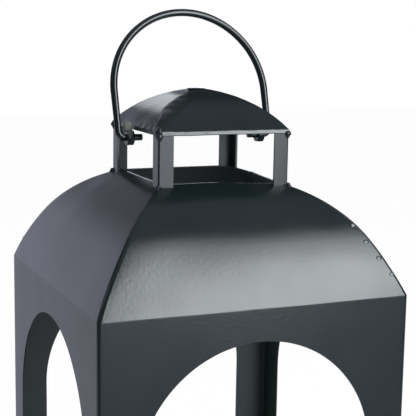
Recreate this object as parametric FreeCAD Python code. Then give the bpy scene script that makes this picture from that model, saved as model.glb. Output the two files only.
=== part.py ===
import FreeCAD, Part
import math
import os

# Square steel candle lantern: four bent panels with arched openings, four angle posts over a
# square vent, a domed cap on a wire rim, and a wire bail that swings in two welded nuts.
# Millimetres and degrees, Z up, origin in the middle of the foot, front towards -Y.

# Body
body_width = 280.0
eave_height = 356.0
sheet = 1.0
corner_radius = 3.0
hem_width = 12.0

# Arched opening in each wall
arch_width = 214.0
arch_crown_drop = 28.0
sill_height = 40.0

# Roof section: a sharp bend at the eave, then a slack arc and a tighter one up to the vent
eave_bend_radius = 4.0
eave_turn = 19.7
roof_lower_radius = 220.0
roof_lower_turn = 13.8
roof_upper_radius = 116.0
vent_width = 110.0

# Floor plate
floor_sheet = 1.2
floor_clearance = 0.3

# Posts of angle section, set back from the edge of the vent
post_ledge = 6.7
post_leg = 14.0
post_thickness = 2.0
post_corner_radius = 1.5
post_height = 44.0

# Cap and its wire rim
rim_wire = 4.0
cap_lap = 1.0
cap_rise = 34.3
cap_radius = 91.5

# Pivot nuts under the rim, the left one welded further out than the right one
nut_flats = 13.0
nut_thickness = 6.5
left_nut_outset = 5.8
right_nut_outset = 0.8
nut_chamfer_angle = 30.0
nut_face_inset = 0.2

# Bail
bail_wire = 6.0
bail_bore_clearance = 0.35
bail_side_play = 1.2
bail_elbow_radius = 5.4
bail_height = 116.5
bail_end_overhang = 8.6
bail_lean = 17.4

# Welds
tack_count = 4
tack_first_height = 18.5
tack_pitch = 13.5
tack_from_hip = 4.5
tack_radius = 2.2
tack_proud = 0.9
foot_weld_radius = 2.4
foot_weld_inset = 0.7
head_weld_radius = 3.6
head_weld_inset = 1.2
head_weld_tip_radius = 1.9
head_weld_length = 7.0
nut_weld_radius = 4.5
nut_weld_pitch = 4.4
nut_weld_lift = 2.6
nut_weld_proud = 1.2
crown_weld_radius = 16.0
crown_weld_proud = 0.7

# Worked out from the sizes above
body_half = body_width / 2
arch_half = arch_width / 2
vent_half = vent_width / 2
post_half = vent_half + post_ledge
rim_half = post_half - post_thickness / 2
rim_outer_half = rim_half + rim_wire / 2
left_nut_middle = rim_half + left_nut_outset
right_nut_middle = rim_half + right_nut_outset
nut_spread_half = (left_nut_middle + right_nut_middle) / 2
bail_middle = (right_nut_middle - left_nut_middle) / 2
bail_half = nut_spread_half + nut_thickness / 2 + bail_side_play + bail_elbow_radius

up = FreeCAD.Vector(0, 0, 1)
along_x = FreeCAD.Vector(1, 0, 0)
along_y = FreeCAD.Vector(0, 1, 0)
origin = FreeCAD.Vector(0, 0, 0)


def section_point(half, height):
    """Point of a section drawn in the plane through the lantern's axis."""
    return FreeCAD.Vector(half, 0, height)


def arc_point(centre, radius, slope):
    """Point of an arc where its surface climbs at the given slope from level."""
    lean = math.radians(slope)
    return centre + section_point(radius * math.sin(lean), radius * math.cos(lean))


def roof_arcs():
    """Arcs of the roof's outside as (centre, radius, slope at the foot, slope at the head)."""
    eave_slope = 90 - eave_turn
    shoulder_slope = eave_slope - roof_lower_turn
    bend_start = eave_height - eave_bend_radius * math.tan(math.radians(eave_turn / 2))
    bend = section_point(body_half - eave_bend_radius, bend_start)
    lower = arc_point(bend, eave_bend_radius - roof_lower_radius, eave_slope)
    upper = arc_point(lower, roof_lower_radius - roof_upper_radius, shoulder_slope)
    level_part = max(vent_half - 3 * sheet - upper.x, 0)
    head_slope = math.degrees(math.asin(level_part / roof_upper_radius))
    return [
        (bend, eave_bend_radius, 90, eave_slope),
        (lower, roof_lower_radius, eave_slope, shoulder_slope),
        (upper, roof_upper_radius, shoulder_slope, head_slope),
    ]


def roof_half_at(height):
    """Half width of the roof's outside at a height above the foot."""
    for centre, radius, foot_slope, head_slope in roof_arcs():
        if height <= arc_point(centre, radius, head_slope).z:
            return centre.x + math.sqrt(radius ** 2 - (height - centre.z) ** 2)
    raise ValueError("the height is above the roof")


def roof_height_at(half):
    """Height of the roof's outside above the foot, near the vent."""
    centre, radius = roof_arcs()[-1][:2]
    return centre.z + math.sqrt(radius ** 2 - (half - centre.x) ** 2)


def crossed_prisms(half_edges, reach):
    """Solid whose front and side sections both follow the half section and its mirror image."""
    mirrored = [edge.mirror(origin, along_x) for edge in half_edges]
    foot = half_edges[0].Vertexes[0].Point
    head = half_edges[-1].Vertexes[-1].Point
    edges = half_edges + mirrored
    edges.append(Part.makeLine(foot, section_point(-foot.x, foot.z)))
    if head.x > sheet / 100:
        edges.append(Part.makeLine(head, section_point(-head.x, head.z)))
    face = Part.Face(Part.Wire(Part.__sortEdges__(edges)))
    face.translate(along_y * -reach)
    prism = face.extrude(along_y * 2 * reach)
    crossing = prism.copy()
    crossing.rotate(origin, up, 90)
    return prism.common(crossing)


def is_hip(edge):
    """True for an edge that climbs along one of the two diagonal planes."""
    ends = [vertex.Point for vertex in edge.Vertexes]
    on_diagonal = all(abs(abs(end.x) - abs(end.y)) < sheet / 1000 for end in ends)
    return on_diagonal and abs(ends[0].z - ends[-1].z) > sheet / 1000


def body_form(inset, foot):
    """Solid filled body and roof, inset from the outside, with rounded corners and hips."""
    arcs = [(centre, radius - inset, low, high) for centre, radius, low, high in roof_arcs()]
    start = arc_point(*arcs[0][:3])
    edges = [Part.makeLine(section_point(start.x, foot), start)]
    for centre, radius, low, high in arcs:
        slopes = (low, (low + high) / 2, high)
        points = [arc_point(centre, radius, slope) for slope in slopes]
        edges.append(Part.Arc(*points).toShape())
    form = crossed_prisms(edges, body_half)
    hips = [edge for edge in form.Edges if is_hip(edge)]
    return form.makeFillet(corner_radius - inset, hips)


def cap_form(inset, foot_drop):
    """Solid filled dome of the cap, inset from the outside."""
    edge_height = rim_top() - cap_lap
    chord = math.hypot(rim_outer_half, cap_rise)
    depth = math.sqrt(cap_radius ** 2 - (chord / 2) ** 2)
    centre_half = rim_outer_half / 2 - depth * cap_rise / chord
    centre_height = edge_height + cap_rise / 2 - depth * rim_outer_half / chord
    radius = cap_radius - inset
    foot_height = edge_height - foot_drop
    foot_half = centre_half + math.sqrt(radius ** 2 - (foot_height - centre_height) ** 2)
    crown_height = centre_height + math.sqrt(radius ** 2 - centre_half ** 2)
    foot_slope = math.degrees(math.asin((foot_half - centre_half) / radius))
    crown_slope = math.degrees(math.asin(-centre_half / radius))
    centre = section_point(centre_half, centre_height)
    middle = arc_point(centre, radius, (foot_slope + crown_slope) / 2)
    foot = section_point(foot_half, foot_height)
    crown = section_point(0, crown_height)
    return crossed_prisms([Part.Arc(foot, middle, crown).toShape()], 2 * rim_outer_half)


def rim_bottom():
    """Height of the underside of the rim wire."""
    return roof_height_at(post_half) + post_height


def rim_top():
    """Height of the top of the rim wire."""
    return rim_bottom() + rim_wire


def pivot_height():
    """Height of the bail's pivot axis, with the nuts tight under the rim."""
    return rim_bottom() - nut_flats / 2


def front_quarter():
    """Wedge that holds everything nearer the front than any other side."""
    corners = [
        origin,
        FreeCAD.Vector(-body_width, -body_width, 0),
        FreeCAD.Vector(body_width, -body_width, 0),
        origin,
    ]
    wedge = Part.Face(Part.makePolygon(corners))
    return wedge.extrude(up * 2 * (rim_top() + cap_rise))


def quarter_turns(shape):
    """The shape and its copies turned to the right, back and left sides."""
    turned = []
    for turn in range(4):
        copy = shape.copy()
        copy.rotate(origin, up, 90 * turn)
        turned.append(copy)
    return turned


def half_turn(shape):
    """Copy of the shape turned to the opposite side of the lantern."""
    return quarter_turns(shape)[2]


def centred_box(half, foot, head):
    """Square block about the lantern's axis between two heights."""
    corner = FreeCAD.Vector(-half, -half, foot)
    return Part.makeBox(2 * half, 2 * half, head - foot, corner)


def arch_cutter():
    """Prism through the front wall in the shape of the arched opening."""
    crown = eave_height - arch_crown_drop
    spring = crown - arch_half
    left_foot = section_point(-arch_half, sill_height)
    left_spring = section_point(-arch_half, spring)
    right_spring = section_point(arch_half, spring)
    right_foot = section_point(arch_half, sill_height)
    edges = [
        Part.makeLine(left_foot, left_spring),
        Part.Arc(left_spring, section_point(0, crown), right_spring).toShape(),
        Part.makeLine(right_spring, right_foot),
        Part.makeLine(right_foot, left_foot),
    ]
    face = Part.Face(Part.Wire(edges))
    face.translate(along_y * -(body_half + sheet))
    return face.extrude(along_y * (arch_half + 2 * sheet))


def front_panel(outside):
    """Front sheet: hem, wall with its arch, bend at the eave and roof slope up to the vent."""
    inside = body_form(sheet, sheet)
    foot_opening = centred_box(body_half - hem_width, -sheet, 2 * sheet)
    vent = centred_box(vent_half, eave_height, outside.BoundBox.ZMax + sheet)
    panel = outside.cut(inside).common(front_quarter())
    return panel.cut(foot_opening).cut(vent).cut(arch_cutter())


def floor_plate():
    """Plate that lies on the hems inside the walls."""
    half = body_half - sheet - floor_clearance
    plate = centred_box(half, sheet, sheet + floor_sheet)
    corners = [edge for edge in plate.Edges if edge.Vertexes[0].Z != edge.Vertexes[-1].Z]
    return plate.makeFillet(corner_radius, corners)


def cap_rim():
    """Square ring of round wire with mitred corners."""
    start = FreeCAD.Vector(-2 * rim_half, -rim_half, rim_bottom() + rim_wire / 2)
    bar = Part.makeCylinder(rim_wire / 2, 4 * rim_half, start, along_x)
    sides = quarter_turns(bar.common(front_quarter()))
    return sides[0].multiFuse(sides[1:]).removeSplitter()


def front_left_post(outside, rim):
    """Angle-section post cut to seat on the roof below and the rim wire above."""
    foot = eave_height
    length = rim_bottom() + rim_wire / 2 - foot
    corner = FreeCAD.Vector(-post_half, -post_half, foot)
    front_leg = Part.makeBox(post_leg, post_thickness, length, corner)
    side_leg = Part.makeBox(post_thickness, post_leg, length, corner)
    post = front_leg.fuse(side_leg).removeSplitter()
    outer = [edge for edge in post.Edges if edge_stands_at(edge, corner)]
    return post.makeFillet(post_corner_radius, outer).cut(outside).cut(rim)


def edge_stands_at(edge, corner):
    """True for the upright edge over a corner point."""
    ends = [vertex.Point for vertex in edge.Vertexes]
    return all(math.hypot(end.x - corner.x, end.y - corner.y) < sheet / 1000 for end in ends)


def front_gore(rim):
    """Front quarter of the domed cap, seated on the rim wire."""
    shell = cap_form(0, 0).cut(cap_form(sheet, sheet))
    return shell.common(front_quarter()).cut(rim)


def pivot_nut(middle):
    """Chamfered hexagon nut on the pivot axis, with a flat up and its middle at the given X."""
    half = nut_thickness / 2
    corner_reach = nut_flats / 2 / math.cos(math.radians(30))
    face_reach = nut_flats / 2 - nut_face_inset
    chamfer = (corner_reach - face_reach) * math.tan(math.radians(nut_chamfer_angle))
    hexagon = []
    for side in range(7):
        angle = math.radians(60 * side)
        offset = FreeCAD.Vector(-half, corner_reach * math.cos(angle), corner_reach * math.sin(angle))
        hexagon.append(offset)
    prism = Part.Face(Part.makePolygon(hexagon)).extrude(along_x * nut_thickness)
    outline = [
        section_point(-half, 0),
        section_point(-half, face_reach),
        section_point(-half + chamfer, corner_reach),
        section_point(half - chamfer, corner_reach),
        section_point(half, face_reach),
        section_point(half, 0),
        section_point(-half, 0),
    ]
    turned = Part.Face(Part.makePolygon(outline)).revolve(origin, along_x, 360)
    bore_radius = bail_wire / 2 + bail_bore_clearance
    bore = Part.makeCylinder(bore_radius, 2 * nut_thickness, along_x * -nut_thickness, along_x)
    nut = prism.common(turned).cut(bore)
    nut.translate(FreeCAD.Vector(middle, 0, pivot_height()))
    return nut


def bail_handle():
    """Round wire bent to a bail whose ends turn in through the nuts, leaning back as it rests."""
    end = nut_spread_half - nut_thickness / 2 - bail_end_overhang
    spring = bail_height - bail_half
    bend = bail_elbow_radius * math.sqrt(0.5)
    bend_middle = bail_half - bail_elbow_radius + bend
    half_path = [
        Part.makeLine(section_point(end, 0), section_point(bail_half - bail_elbow_radius, 0)),
        Part.Arc(
            section_point(bail_half - bail_elbow_radius, 0),
            section_point(bend_middle, bail_elbow_radius - bend),
            section_point(bail_half, bail_elbow_radius),
        ).toShape(),
        Part.makeLine(section_point(bail_half, bail_elbow_radius), section_point(bail_half, spring)),
    ]
    crown = Part.Arc(
        section_point(bail_half, spring),
        section_point(0, bail_height),
        section_point(-bail_half, spring),
    ).toShape()
    mirrored = [edge.mirror(origin, along_x) for edge in half_path]
    path = Part.Wire(Part.__sortEdges__(half_path + [crown] + mirrored))
    start = section_point(end, 0)
    section = Part.Wire(Part.makeCircle(bail_wire / 2, start, along_x))
    bail = path.makePipeShell([section], True, False)
    bail.rotate(origin, along_x, -bail_lean)
    bail.translate(FreeCAD.Vector(bail_middle, 0, pivot_height()))
    return bail


def hip_tack_welds(outside):
    """Bumps beside the front right hip, and the same beside the back left hip."""
    bumps = []
    for index in range(tack_count):
        height = eave_height + tack_first_height + tack_pitch * index
        half = roof_half_at(height)
        centre = FreeCAD.Vector(half - tack_from_hip, -half, height)
        inward = FreeCAD.Vector(0, 1, -1).normalize() * (tack_radius - tack_proud)
        bumps.append(Part.makeSphere(tack_radius, centre + inward).cut(outside))
    return bumps + [half_turn(bump) for bump in bumps]


def inside_of_post():
    """Block behind the middle of the front left post's sheet, where no weld shows."""
    back = post_half - post_thickness / 2
    corner = FreeCAD.Vector(-back, -back, eave_height)
    return Part.makeBox(back, back, rim_top() - eave_height, corner)


def post_foot_welds(outside, post):
    """Weld spots against the outer corners of the posts where they stand on the roof."""
    half = post_half - foot_weld_inset
    centre = FreeCAD.Vector(-half, -half, roof_height_at(post_half))
    ball = Part.makeSphere(foot_weld_radius, centre)
    return quarter_turns(ball.cut(inside_of_post()).cut(post).cut(outside))


def post_head_welds(rim, post):
    """Weld lumps that taper down the outer corners of the posts from the rim."""
    half = post_half - head_weld_inset
    tip = FreeCAD.Vector(-half, -half, rim_bottom() - head_weld_length)
    length = head_weld_length + rim_wire / 4
    lump = Part.makeCone(head_weld_tip_radius, head_weld_radius, length, tip)
    return quarter_turns(lump.cut(inside_of_post()).cut(post).cut(rim))


def nut_weld(rim, nut, middle):
    """Row of lumps run together over the top of a nut on the right and the rim's outside."""
    reach = middle + nut_thickness / 2 + nut_weld_proud - nut_weld_radius
    lumps = []
    for step in (-1, 0, 1):
        centre = FreeCAD.Vector(reach, step * nut_weld_pitch, rim_bottom() + nut_weld_lift)
        lumps.append(Part.makeSphere(nut_weld_radius, centre))
    corner = FreeCAD.Vector(0, -nut_flats, rim_bottom() - nut_flats)
    under_cap = Part.makeBox(rim_half, 2 * nut_flats, 2 * nut_flats, corner)
    pad = lumps[0].multiFuse(lumps[1:]).removeSplitter()
    return pad.cut(under_cap).cut(rim).cut(nut).cut(cap_form(0, 0))


def cap_crown_weld():
    """Shallow lump over the point where the four gores meet."""
    crown = cap_form(0, 0)
    peak = crown.BoundBox.ZMax + crown_weld_proud
    ball = Part.makeSphere(crown_weld_radius, up * (peak - crown_weld_radius))
    return ball.cut(crown)


def lantern():
    """Every piece of the lantern by its node's name."""
    outside = body_form(0, 0)
    rim = cap_rim()
    post = front_left_post(outside, rim)
    left_nut = pivot_nut(left_nut_middle)
    right_nut = pivot_nut(right_nut_middle)
    left_pad = nut_weld(rim, left_nut, left_nut_middle)
    right_pad = nut_weld(rim, right_nut, right_nut_middle)
    nodes = {
        "floor_plate": floor_plate(),
        "hip_tack_welds": Part.makeCompound(hip_tack_welds(outside)),
        "post_foot_welds": Part.makeCompound(post_foot_welds(outside, post)),
        "post_head_welds": Part.makeCompound(post_head_welds(rim, post)),
        "cap_rim": rim,
        "cap_crown_weld": cap_crown_weld(),
        "pivot_nut_left": half_turn(left_nut),
        "pivot_nut_right": right_nut,
        "nut_welds": Part.makeCompound([half_turn(left_pad), right_pad]),
        "bail_handle": bail_handle(),
    }
    sides = ("front", "right", "back", "left")
    for side, panel in zip(sides, quarter_turns(front_panel(outside))):
        nodes[f"{side}_panel"] = panel
    for side, gore in zip(sides, quarter_turns(front_gore(rim))):
        nodes[f"cap_{side}"] = gore
    corners = ("front_left", "front_right", "back_right", "back_left")
    for corner, copy in zip(corners, quarter_turns(post)):
        nodes[f"post_{corner}"] = copy
    return nodes


os.makedirs("parts", exist_ok=True)
for name, shape in lantern().items():
    shape.exportStep(f"parts/{name}.step")
    print(name, "solids", len(shape.Solids), "volume", round(shape.Volume, 1), "valid", shape.isValid())
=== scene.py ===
"""Looks of a square black candle lantern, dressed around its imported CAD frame."""

import logging
import math
from collections.abc import Iterable, Sequence
from dataclasses import dataclass
from enum import Enum

import bmesh
import bpy
from mathutils import Matrix, Vector, noise


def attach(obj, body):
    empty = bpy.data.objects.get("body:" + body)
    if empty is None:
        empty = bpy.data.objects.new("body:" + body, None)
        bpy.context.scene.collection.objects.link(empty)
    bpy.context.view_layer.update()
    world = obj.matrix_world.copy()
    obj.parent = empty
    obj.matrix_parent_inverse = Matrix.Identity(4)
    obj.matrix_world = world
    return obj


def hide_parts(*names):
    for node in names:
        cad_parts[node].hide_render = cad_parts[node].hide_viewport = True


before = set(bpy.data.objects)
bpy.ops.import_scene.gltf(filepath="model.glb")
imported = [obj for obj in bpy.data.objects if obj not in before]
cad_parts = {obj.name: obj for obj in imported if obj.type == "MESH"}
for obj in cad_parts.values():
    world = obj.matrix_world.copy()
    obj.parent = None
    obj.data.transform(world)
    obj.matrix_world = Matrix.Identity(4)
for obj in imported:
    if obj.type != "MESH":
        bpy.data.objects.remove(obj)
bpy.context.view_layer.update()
log = logging.getLogger("lantern")

Mesh = bmesh.types.BMesh
Edges = list[bmesh.types.BMEdge]
Station = tuple[float, float]
Triple = tuple[float, float, float]

# Pieces are modelled in millimetres and scaled to metres as they are finished.
MM = 0.001
UP = Vector((0, 0, 1))
# Index of the material that inner faces take.
INNER = 1
# Angle above which an edge is shaded sharp, and the one above which it is broken, in degrees.
SHARP = 35.0
KEEN = 50.0
# Gap within which two places count as one.
TOUCH = 0.01
# Steps round the corner of a square shell, and round an edge that is broken.
CORNER_STEPS = 6
EDGE_STEPS = 2
# A Mix node has sockets of every kind under the same names: these are its colours' and its levels'.
COLOUR_A, COLOUR_B, COLOUR_OUT = 6, 7, 2
LEVEL_A, LEVEL_B = 2, 3
# Directions that the parts of the studio are measured along.
ACROSS = (1.0, 0.0, 0.0)
BEHIND = (0.0, 1.0, 0.0)
ABOVE = (0.0, 0.0, 1.0)


class Quarter(Enum):
    """Quarter turns about the lantern's axis, counted from the front or the front left."""

    @property
    def turn(self) -> Matrix:
        """Rotation that takes the first of its kind to this one."""
        return rotation(90 * self.value, "Z")

    @property
    def label(self) -> str:
        """Word for it in the names of pieces."""
        return self.name.lower()


class Side(Quarter):
    """Sides of the lantern."""

    FRONT = 0
    RIGHT = 1
    BACK = 2
    LEFT = 3


class Corner(Quarter):
    """Corners of the lantern."""

    FRONT_LEFT = 0
    FRONT_RIGHT = 1
    BACK_RIGHT = 2
    BACK_LEFT = 3


class Rider(Enum):
    """Rigid bodies of the frame that a piece can ride on."""

    LANTERN = "lantern"
    BAIL = "bail"


def rotation(degrees: float, axis: str, size: int = 3) -> Matrix:
    """Give the matrix that turns by an angle about one of the frame's axes."""
    return Matrix.Rotation(math.radians(degrees), size, axis)


def share_between(value: float, start: float, end: float) -> float:
    """Give how far a value has gone from one bound to another, held between 0 and 1."""
    return min(max((value - start) / (end - start), 0.0), 1.0)


def bell(distance: float, reach: float) -> float:
    """Give a share that falls smoothly from 1 to nothing as a distance passes a reach."""
    return math.exp(-((distance / reach) ** 2))


def linear(hex_colour: str) -> tuple[float, float, float, float]:
    """Turn an sRGB hex colour to linear light.

    Args:
        hex_colour: Six hexadecimal digits, with or without a hash.

    Returns:
        Linear red, green and blue with an alpha of 1.
    """
    digits = hex_colour.lstrip("#")
    channels = [int(digits[i:i + 2], 16) / 255 for i in (0, 2, 4)]
    light = [c / 12.92 if c <= 0.04045 else ((c + 0.055) / 1.055) ** 2.4 for c in channels]
    return (*light, 1.0)


def clear_tree(owner: bpy.types.Material | bpy.types.World) -> bpy.types.NodeTree:
    """Give a material or a world an empty node tree.

    Args:
        owner: Material or world that takes the nodes.

    Returns:
        Its tree.
    """
    owner.use_nodes = True
    owner.node_tree.nodes.clear()
    return owner.node_tree


def add_node(
    tree: bpy.types.NodeTree,
    kind: str,
    settings: dict[str, object] | None = None,
    inputs: dict[str | int, object] | None = None,
) -> bpy.types.Node:
    """Add a node with its settings, its constants and its links.

    Args:
        tree: Node tree that takes the node.
        kind: Blender's name for the kind of node.
        settings: Properties of the node by name.
        inputs: Sockets by name or index: an output socket is linked, anything else is set.

    Returns:
        The new node.
    """
    node = tree.nodes.new(kind)
    for name, value in (settings or {}).items():
        setattr(node, name, value)
    for name, value in (inputs or {}).items():
        if isinstance(value, bpy.types.NodeSocket):
            tree.links.new(value, node.inputs[name])
        else:
            node.inputs[name].default_value = value
    return node


@dataclass(frozen=True)
class PowderCoat:
    """Black polyester powder coat, sprayed dry and baked on steel.

    It flows out to a satin skin with a fine orange peel, so a soft light mirrored in it has
    mottled edges, and the coat looks greener where it is only lit from inside.
    """

    name: str
    colour: str = "#121b1b"
    thin_colour: str = "#0e1616"
    ior: float = 1.55
    roughness: float = 0.23
    roughness_spread: float = 0.03
    cloud_mm: float = 45.0
    cloud_detail: float = 3.0
    cloud_thin: float = 0.3
    cloud_thick: float = 0.7
    peel_mm: float = 3.0
    peel_detail: float = 2.0
    peel_depth_mm: float = 0.06
    # Grains of dry powder are about 0.2 mm across, and are drawn coarser so that they show.
    grit_mm: float = 0.9
    grit_depth_mm: float = 0.0

    def material(self) -> bpy.types.Material:
        """Build the coat's node material.

        Returns:
            The finished material.
        """
        material = bpy.data.materials.new(self.name)
        tree = clear_tree(material)
        place = add_node(tree, "ShaderNodeTexCoord").outputs["Object"]
        cloud = add_node(tree, "ShaderNodeTexNoise", inputs={
            "Vector": place, "Scale": 1 / (self.cloud_mm * MM), "Detail": self.cloud_detail})
        peel = add_node(tree, "ShaderNodeTexNoise", inputs={
            "Vector": place, "Scale": 1 / (self.peel_mm * MM), "Detail": self.peel_detail})
        tone = add_node(tree, "ShaderNodeMix", {"data_type": "RGBA"}, {
            "Factor": cloud.outputs["Fac"],
            COLOUR_A: linear(self.thin_colour), COLOUR_B: linear(self.colour)})
        gloss = add_node(tree, "ShaderNodeMapRange", inputs={
            "Value": cloud.outputs["Fac"], "From Min": self.cloud_thin, "From Max": self.cloud_thick,
            "To Min": self.roughness - self.roughness_spread,
            "To Max": self.roughness + self.roughness_spread})
        skin = add_node(tree, "ShaderNodeBump", inputs={
            "Height": peel.outputs["Fac"], "Distance": self.peel_depth_mm * MM})
        if self.grit_depth_mm:
            grit = add_node(tree, "ShaderNodeTexVoronoi", inputs={
                "Vector": place, "Scale": 1 / (self.grit_mm * MM)})
            skin = add_node(tree, "ShaderNodeBump", inputs={
                "Height": grit.outputs["Distance"], "Distance": self.grit_depth_mm * MM,
                "Normal": skin.outputs["Normal"]})
        shader = add_node(tree, "ShaderNodeBsdfPrincipled", inputs={
            "Base Color": tone.outputs[COLOUR_OUT], "Roughness": gloss.outputs["Result"],
            "IOR": self.ior, "Normal": skin.outputs["Normal"]})
        add_node(tree, "ShaderNodeOutputMaterial", inputs={"Surface": shader.outputs["BSDF"]})
        return material


class Finishes:
    """The lantern's finishes, by the record's material slots, and what dresses its pieces in them."""

    COATS = {
        # On the broad sheets a mirrored light is wide and soft, and its edges are mottled.
        "panel_paint": PowderCoat("satin_black_powder_coat_on_sheet"),
        # The floor is duller than the walls, and keeps only a grey bloom of the openings.
        "floor_paint": PowderCoat("satin_black_powder_coat_on_floor", roughness=0.42),
        # The rolled flats of the angle mirror the studio in clean, even strips.
        "post_paint": PowderCoat(
            "satin_black_powder_coat_on_angle", roughness=0.2, peel_depth_mm=0.03),
        # The dome draws the light together, in a spot that is a little crisper than on the roof.
        "cap_paint": PowderCoat(
            "satin_black_powder_coat_on_cap", roughness=0.21, peel_depth_mm=0.04),
        # Paint pulls smooth round thin wire: no peel, and one soft line of light.
        "rim_paint": PowderCoat(
            "satin_black_powder_coat_on_rim_wire", roughness=0.24, peel_depth_mm=0.004),
        # The coat is thin over a bead, so it is greyer and glints in points.
        "weld_paint": PowderCoat(
            "black_powder_coat_over_weld", colour="#22292a", thin_colour="#12181a",
            roughness=0.17, cloud_mm=5.0, peel_mm=1.2, peel_depth_mm=0.02),
        # The nuts' small flats catch the light one at a time, without any peel.
        "nut_paint": PowderCoat("black_powder_coat_on_nut", roughness=0.26, peel_depth_mm=0.004),
        # The bail's wire is smooth: thin bright lines run the whole way round its loop.
        "bail_paint": PowderCoat(
            "semi_gloss_black_powder_coat_on_bail", roughness=0.2, peel_depth_mm=0.002),
    }
    # The nuts were welded on last and only dusted over, so their welds stay grey and dull.
    BARE_WELD = PowderCoat(
        "thin_grey_overspray_on_weld", colour="#6e6f6b", thin_colour="#4c4d4b",
        roughness=0.5, cloud_mm=4.0, peel_mm=1.2, peel_depth_mm=0.05, grit_depth_mm=0.03)
    # Powder reaches into corners badly, so the coat inside is dry and rough and mirrors nothing clearly.
    # Its colour is painted lighter and greener than outside, as painted bounce light for the light
    # reflected round the inside.
    INSIDE = PowderCoat(
        "rough_black_coat_inside_with_painted_bounce_light", colour="#1c2a28", thin_colour="#182422",
        roughness=0.5, peel_mm=1.5)

    def __init__(self) -> None:
        """Build every material once."""
        self.materials = {slot: coat.material() for slot, coat in self.COATS.items()}
        self.inside = self.INSIDE.material()
        self.bare_weld = self.BARE_WELD.material()

    def dress(self, piece: bpy.types.Object, slot: str) -> None:
        """Give a piece or a CAD node the finish of a slot, and on its inner faces the rough coat with
        painted bounce light.

        Args:
            piece: Object to dress.
            slot: Name of the record's material slot.
        """
        if piece.data.materials:
            piece.data.materials.clear()
        piece.data.materials.append(self.materials[slot])
        if any(face.material_index == INNER for face in piece.data.polygons):
            # Inner faces take the coat whose colour is painted lighter, as painted bounce light.
            piece.data.materials.append(self.inside)

    def dress_node(self, node: str, slot: str) -> None:
        """Dress a CAD node that stays in the scene as it is."""
        self.dress(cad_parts[node], slot)
        log.info("%s: CAD node dressed", node)

    def piece(
        self, name: str, bm: Mesh, slot: str, replaced: Iterable[str],
        rider: Rider = Rider.LANTERN, flat_faces: bool = False,
    ) -> bpy.types.Object:
        """Turn a mesh in millimetres to a dressed piece that rides on its body.

        Args:
            name: Name of the piece.
            bm: Its mesh, which is freed.
            slot: The record's material slot.
            replaced: CAD nodes that it stands for.
            rider: Body that carries it.
            flat_faces: Whether its large faces are to shade flat beside broken edges.

        Returns:
            The new object.
        """
        bmesh.ops.scale(bm, verts=bm.verts[:], vec=(MM, MM, MM))
        piece = mesh_object(name, bm)
        piece.data.shade_smooth()
        piece.data.set_sharp_from_angle(angle=math.radians(SHARP))
        if flat_faces:
            flat = piece.modifiers.new("flat_faces_stay_flat", "WEIGHTED_NORMAL")
            flat.keep_sharp = True
        self.dress(piece, slot)
        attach(piece, rider.value)
        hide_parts(*replaced)
        log.info("%s: %d faces, rides on %s", name, len(piece.data.polygons), rider.value)
        return piece


@dataclass(frozen=True)
class Arc:
    """Arc of a section through the lantern's axis, between two slopes of its surface in degrees."""

    half: float
    height: float
    radius: float
    foot_slope: float
    head_slope: float

    def station(self, slope: float) -> Station:
        """Give the half width and height of the point where the surface has a slope."""
        lean = math.radians(slope)
        return (self.half + self.radius * math.sin(lean), self.height + self.radius * math.cos(lean))

    def stations(self, steps: int) -> list[Station]:
        """Divide the arc evenly, from its foot to its head."""
        turn = (self.head_slope - self.foot_slope) / steps
        return [self.station(self.foot_slope + turn * step) for step in range(steps + 1)]


@dataclass(frozen=True)
class Dent:
    """Shallow push or swelling that hand work leaves in a sheet."""

    centre: Triple
    reach: float
    depth: float

    def lift(self, place: Vector) -> float:
        """Give how far the dent lifts the sheet at a place, along its normal."""
        return -self.depth * bell((place - Vector(self.centre)).length, self.reach)


def only(kind: type, geom: Iterable[object]) -> list:
    """Keep the elements of one kind out of what an operator gives back."""
    return [item for item in geom if isinstance(item, kind)]


def whole(bm: Mesh) -> list:
    """List all vertices, edges and faces of a mesh."""
    return bm.verts[:] + bm.edges[:] + bm.faces[:]


def scene_object(name: str, data: bpy.types.ID) -> bpy.types.Object:
    """Put new data in the scene.

    Args:
        name: Name of the object.
        data: Its mesh, light or camera.

    Returns:
        The new object.
    """
    thing = bpy.data.objects.new(name, data)
    bpy.context.scene.collection.objects.link(thing)
    return thing


def mesh_object(name: str, bm: Mesh) -> bpy.types.Object:
    """Put a mesh in the scene.

    Args:
        name: Name of the object.
        bm: Its mesh, which is freed.

    Returns:
        The new object.
    """
    mesh = bpy.data.meshes.new(name)
    bm.to_mesh(mesh)
    bm.free()
    return scene_object(name, mesh)


def modified(bm: Mesh, kind: str, settings: dict[str, object]) -> Mesh:
    """Run a mesh through a modifier.

    Args:
        bm: Mesh to change, which is freed.
        kind: Blender's name for the kind of modifier.
        settings: Properties of the modifier by name.

    Returns:
        The changed mesh.
    """
    work = mesh_object("work", bm)
    modifier = work.modifiers.new(kind.lower(), kind)
    for name, value in settings.items():
        setattr(modifier, name, value)
    evaluated = work.evaluated_get(bpy.context.evaluated_depsgraph_get())
    changed = bmesh.new()
    changed.from_mesh(evaluated.to_mesh())
    # Its object goes with the mesh.
    bpy.data.meshes.remove(work.data)
    return changed


def round_over(bm: Mesh, geom: Sequence, radius: float, steps: int, affect: str = "EDGES") -> None:
    """Round edges or corner points, no further than the faces beside them allow.

    Args:
        bm: Mesh that they are part of.
        geom: Edges or vertices to round.
        radius: Radius of the rounding.
        steps: Number of steps round it.
        affect: Blender's word for what is rounded.
    """
    bmesh.ops.bevel(bm, geom=geom, offset=radius, offset_type="OFFSET", affect=affect,
                    segments=steps, profile=0.5, material=-1, clamp_overlap=True)


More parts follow.
